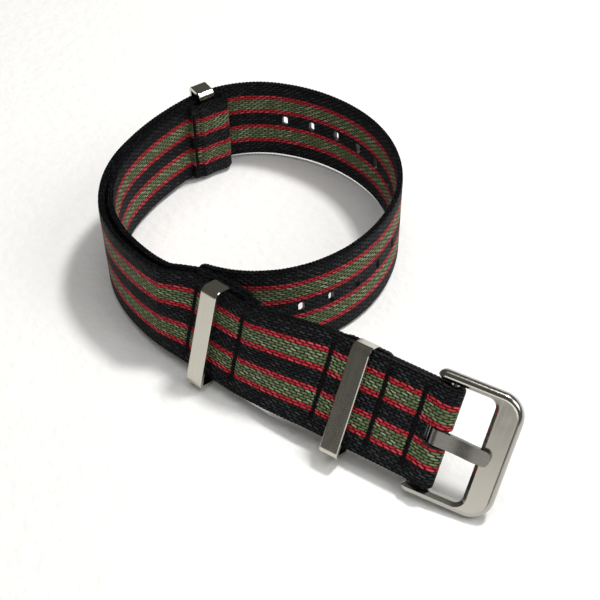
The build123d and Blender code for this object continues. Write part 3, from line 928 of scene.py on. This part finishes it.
# %% Steel finishes
FINE, COARSE = 3000, 120
TONGUE_SCALES, PIN_SCALES, PIN_RELIEF = (120, 2000, 2000), (900, 900, 9000), 0.002
GRAIN_DETAIL, GRAIN_SHARE, CLOUD_SHARE, SHARE_START = 3.0, 0.7, 0.5, 0.1
CLOUD_SCALE, ROUGHNESS_START = 420.0, 0.06
GRAIN_ROUGHNESS, CLOUD_ROUGHNESS = 0.10, 0.04
KEEPER_COLOURS = (0.58, 0.56, 0.495), (0.48, 0.46, 0.40)
FRAME_COLOURS = (0.43, 0.42, 0.385), (0.38, 0.37, 0.34)
# The tongue's colours are darker than the other steel's: painted shade for its dim
# reflections.
TONGUE_SHADED_COLOURS = (0.25, 0.242, 0.23), (0.18, 0.175, 0.165)
PIN_COLOURS = (0.42, 0.42, 0.41), (0.34, 0.34, 0.33)


def steel(name, colours, rough, scales, depth=0.0):
    """Satin steel between two colours, with a grain stretched along one direction."""
    finish = Finish(name)
    bright, dark = colours
    place = finish.object_place()
    grain = finish.noise(finish.stretched(place, scales), 1.0, GRAIN_DETAIL)
    cloud = finish.noise(place, CLOUD_SCALE)
    shine = grain * GRAIN_SHARE + cloud * CLOUD_SHARE
    shine = shine.math("SUBTRACT", SHARE_START, clamp=True)
    start = rough - ROUGHNESS_START
    finish.shade(
        Base_Color=finish.mix(shine, (*dark, 1.0), (*bright, 1.0)),
        Roughness=start + grain * GRAIN_ROUGHNESS + cloud * CLOUD_ROUGHNESS,
        Metallic=1.0,
    )
    if depth:
        finish.bump(grain, depth)
    return finish.material


keeper_steel = steel(
    "satin_steel_keeper", KEEPER_COLOURS, rough=0.15, scales=(FINE, COARSE, COARSE)
)
far_keeper_steel = steel(
    "satin_steel_far_keeper", KEEPER_COLOURS, rough=0.15, scales=(COARSE, FINE, COARSE)
)
frame_steel = steel(
    "satin_steel_frame", FRAME_COLOURS, rough=0.18, scales=(FINE, COARSE, COARSE)
)
# The tongue's steel is painted darker, a painted shade.
shaded_tongue_steel = steel(
    "satin_steel_tongue_shaded", TONGUE_SHADED_COLOURS, rough=0.26, scales=TONGUE_SCALES
)
pin_steel = steel(
    "turned_steel", PIN_COLOURS, rough=0.25, scales=PIN_SCALES, depth=PIN_RELIEF
)

FINISHES = {
    "keeper_1": keeper_steel, "keeper_2": keeper_steel, "keeper_3": far_keeper_steel,
    "buckle_frame": frame_steel, "buckle_tongue": shaded_tongue_steel,
    "spring_bar_tube": pin_steel, "spring_bar_plunger_top": pin_steel,
    "spring_bar_plunger_bottom": pin_steel,
}
for node, material in FINISHES.items():
    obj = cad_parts[node]
    obj.data.materials.clear()
    obj.data.materials.append(material)
print("steel given to", len(FINISHES), "nodes")


# %% [markdown]
# ## The spring inside the bar
#
# A spring bar's two end pins are pushed out by a coil spring, which is seen only when
# the bar is taken apart. It is a helix with a round bevel, made a mesh. It is wound in
# two halves, because each pin squeezes the half on its own side, and a piece can follow
# one joint only.

# %% Wind the spring in two halves
COIL_RADIUS, WIRE_RADIUS, HALF_SPRING, PIN_TRAVEL = 0.40, 0.07, 8.6, 1.0
HALF_TURNS, POINTS_PER_TURN = 24, 12
HALVES = (("top", -1, "plunger_top_slide"), ("bottom", 1, "plunger_bottom_slide"))
bar_place, bar_across = face_matrix(0.0, pin_offset), directions(0.0)[2]
count = POINTS_PER_TURN * HALF_TURNS
turns = [2 * pi * HALF_TURNS * i / count for i in range(count + 1)]
for name, way, joint in HALVES:
    helix = [
        (COIL_RADIUS * cos(t), way * HALF_SPRING * t / turns[-1], COIL_RADIUS * sin(t))
        for t in turns
    ]
    half = wire(f"spring_{name}", helix, WIRE_RADIUS, bar_place)
    bpy.ops.object.shade_smooth_by_angle(angle=WIRE_SMOOTH)
    dress(half, pin_steel, "pin_steel", "buckle", "spring_bar_spring")
    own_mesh(half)


# %% [markdown]
# ## Floor, light and camera
#
# The strap stands on a pale, slightly rough table, whose surface lies a hair below the
# strap so that the two never share a plane.

# %% Floor
FLOOR_SIZE, FLOOR_DROP = 3.0, 0.02
PAPER_DARK, PAPER_PALE = (0.80, 0.80, 0.795, 1.0), (0.88, 0.88, 0.875, 1.0)
CRINKLE_SCALE, CRINKLE_DETAIL, WIDE_SCALE = 420.0, 4.0, 60.0
CRINKLE_SHARE, WIDE_SHARE, WIDE_HEIGHT = 0.6, 0.4, 0.6
PAPER_ROUGHNESS, PAPER_RELIEF = 0.75, 0.35
bpy.ops.object.select_all(action="DESELECT")
bpy.ops.mesh.primitive_plane_add(size=FLOOR_SIZE, location=(0, 0, -FLOOR_DROP * MM))
floor = new_piece("floor")
paper = Finish("pale_table")
place = paper.object_place()
crinkle = paper.noise(place, CRINKLE_SCALE, CRINKLE_DETAIL)
wide = paper.noise(place, WIDE_SCALE)
mottle = crinkle * CRINKLE_SHARE + wide * WIDE_SHARE
paper.shade(
    Base_Color=paper.mix(mottle, PAPER_DARK, PAPER_PALE), Roughness=PAPER_ROUGHNESS
)
paper.bump(crinkle + wide * WIDE_HEIGHT, PAPER_RELIEF)
floor.data.materials.append(paper.material)
print("floor in place")


# %% [markdown]
# A small light high up behind gives the narrow shadow in front, a soft one from the
# right the broad shadow to the left, and a large one overhead keeps the table white.
# Steel mirrors what is around it. So the overhead light is left out of reflections,
# where it would wash the steel out, and the dim room draws the dark bands instead. A
# faint card in front lights the buckle's face.

# %% Lights and the dim room
WHITE, WARM_WHITE, CREAM = (1.0, 1.0, 1.0), (1.0, 0.985, 0.96), (1.0, 0.98, 0.95)
CARD_CREAM = (1.0, 0.97, 0.92)
CENTRE, BUCKLE = (0, 0, 0), (0.04, 0, 0.01)
ROOM_COLOUR, ROOM_STRENGTH = (0.47, 0.47, 0.43, 1.0), 0.24
LIGHTS = (  # name, place, target, size, power, colour, whether it is mirrored
    ("key", (0.12, 0.25, 0.62), CENTRE, (0.09, 0.09), 3.2, WARM_WHITE, True),
    ("side", (0.45, 0.10, 0.45), CENTRE, (0.35, 0.35), 1.4, WHITE, True),
    ("overhead", (-0.05, -0.02, 0.75), CENTRE, (0.70, 0.70), 2.3, WHITE, False),
    ("front_fill", (0.25, -0.75, 0.35), CENTRE, (0.5, 0.25), 0.8, CREAM, True),
    ("card", (0.107, -0.800, 0.070), BUCKLE, (0.45, 0.14), 0.27, CARD_CREAM, True),
)
for name, place, target, size, power, colour, mirrored in LIGHTS:
    lamp = bpy.data.lights.new(name, "AREA")
    lamp.shape, lamp.size, lamp.size_y = "RECTANGLE", *size
    lamp.energy, lamp.color = power, colour
    obj = bpy.data.objects.new(name, lamp)
    bpy.context.scene.collection.objects.link(obj)
    obj.location, obj.visible_glossy = place, mirrored
    towards_target = Vector(target) - Vector(place)
    obj.rotation_euler = towards_target.to_track_quat("-Z", "Y").to_euler()
    print(name, power, "W")

world = bpy.data.worlds.new("dim_room")
bpy.context.scene.world = world
world.use_nodes = True
room = world.node_tree.nodes["Background"]
room.inputs[0].default_value, room.inputs[1].default_value = ROOM_COLOUR, ROOM_STRENGTH
bpy.context.scene.view_settings.view_transform = "Standard"


# %% [markdown]
# The camera looks down at the strap from the front right, a little turned about its
# own axis. Its place is given by its direction and distance from the point it looks at.

# %% Camera
CAMERA_AZIMUTH, CAMERA_ELEVATION = radians(32.852), radians(45.956)
CAMERA_DISTANCE, CAMERA_ROLL = 254.618 * MM, -0.00917
CAMERA_TARGET = Vector((-5.278, -4.4015, 1.0)) * MM
CAMERA_LENS, CAMERA_SENSOR, CAMERA_NEAR, CAMERA_FAR = 72.0, 36.0, 0.01, 20.0
towards = Vector((
    sin(CAMERA_AZIMUTH) * cos(CAMERA_ELEVATION),
    -cos(CAMERA_AZIMUTH) * cos(CAMERA_ELEVATION),
    sin(CAMERA_ELEVATION),
))
camera_data = bpy.data.cameras.new("camera")
camera_data.lens, camera_data.sensor_width = CAMERA_LENS, CAMERA_SENSOR
camera_data.clip_start, camera_data.clip_end = CAMERA_NEAR, CAMERA_FAR
camera = bpy.data.objects.new("camera", camera_data)
bpy.context.scene.collection.objects.link(camera)
camera.matrix_world = (
    Matrix.Translation(CAMERA_TARGET + towards * CAMERA_DISTANCE)
    @ towards.to_track_quat("Z", "Y").to_matrix().to_4x4()
    @ Matrix.Rotation(CAMERA_ROLL, 4, "Z")
)
bpy.context.scene.camera = camera
print("camera at", [round(c, 4) for c in camera.matrix_world.translation])
